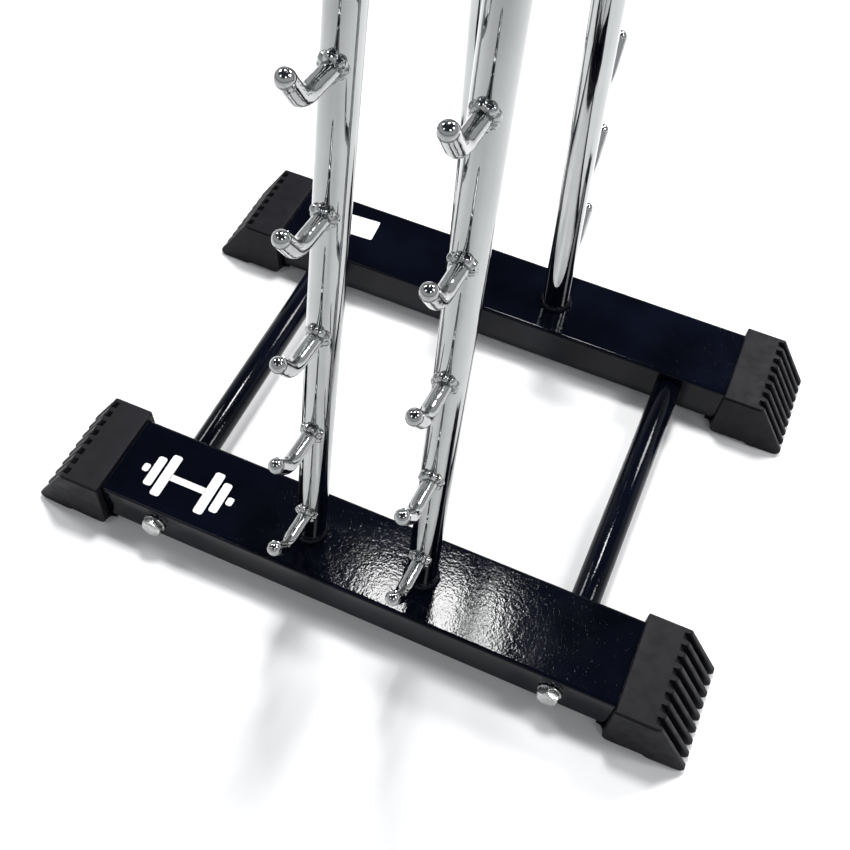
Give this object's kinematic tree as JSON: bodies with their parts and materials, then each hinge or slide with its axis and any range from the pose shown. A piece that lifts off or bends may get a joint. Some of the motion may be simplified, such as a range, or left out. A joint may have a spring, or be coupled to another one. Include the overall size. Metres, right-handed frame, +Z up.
{
  "type": "dumbbell rack",
  "caption": "Free-standing double-sided dumbbell stand: rubber-footed box beams, bolted cross tubes and leaning chrome hoops carrying rows of upturned cradle hooks.",
  "frame": {"origin": "on the floor, under the middle of the stand", "axes": "+X along the base beams to the right, +Y from the front beam to the rear beam, +Z up"},
  "size_m": [0.596, 0.4666, 1.1258],
  "materials": {
    "powder_coat": "gloss black powder coat with a fine orange-peel surface",
    "chrome": "bright chrome plate",
    "rubber": "satin moulded black rubber",
    "zinc": "bright zinc plate"
  },
  "bodies": {
    "root": {"beam_front": "powder_coat", "beam_rear": "powder_coat", "cross_tube_left": "powder_coat", "cross_tube_right": "powder_coat", "foot_front_left": "rubber", "washer_front_left": "zinc", "bolt_front_left": "zinc", "foot_front_right": "rubber", "washer_front_right": "zinc", "bolt_front_right": "zinc", "foot_rear_left": "rubber", "washer_rear_left": "zinc", "bolt_rear_left": "zinc", "foot_rear_right": "rubber", "washer_rear_right": "zinc", "bolt_rear_right": "zinc", "hoop_left": "chrome", "hook_front_left_01": "chrome", "hook_front_left_02": "chrome", "hook_front_left_03": "chrome", "hook_front_left_04": "chrome", "hook_front_left_05": "chrome", "hook_front_left_06": "chrome", "hook_front_left_07": "chrome", "hook_front_left_08": "chrome", "hook_front_left_09": "chrome", "hook_front_left_10": "chrome", "hook_rear_left_01": "chrome", "hook_rear_left_02": "chrome", "hook_rear_left_03": "chrome", "hook_rear_left_04": "chrome", "hook_rear_left_05": "chrome", "hook_rear_left_06": "chrome", "hook_rear_left_07": "chrome", "hook_rear_left_08": "chrome", "hook_rear_left_09": "chrome", "hook_rear_left_10": "chrome", "hoop_right": "chrome", "hook_front_right_01": "chrome", "hook_front_right_02": "chrome", "hook_front_right_03": "chrome", "hook_front_right_04": "chrome", "hook_front_right_05": "chrome", "hook_front_right_06": "chrome", "hook_front_right_07": "chrome", "hook_front_right_08": "chrome", "hook_front_right_09": "chrome", "hook_front_right_10": "chrome", "hook_rear_right_01": "chrome", "hook_rear_right_02": "chrome", "hook_rear_right_03": "chrome", "hook_rear_right_04": "chrome", "hook_rear_right_05": "chrome", "hook_rear_right_06": "chrome", "hook_rear_right_07": "chrome", "hook_rear_right_08": "chrome", "hook_rear_right_09": "chrome", "hook_rear_right_10": "chrome"}
  },
  "joints": []
}
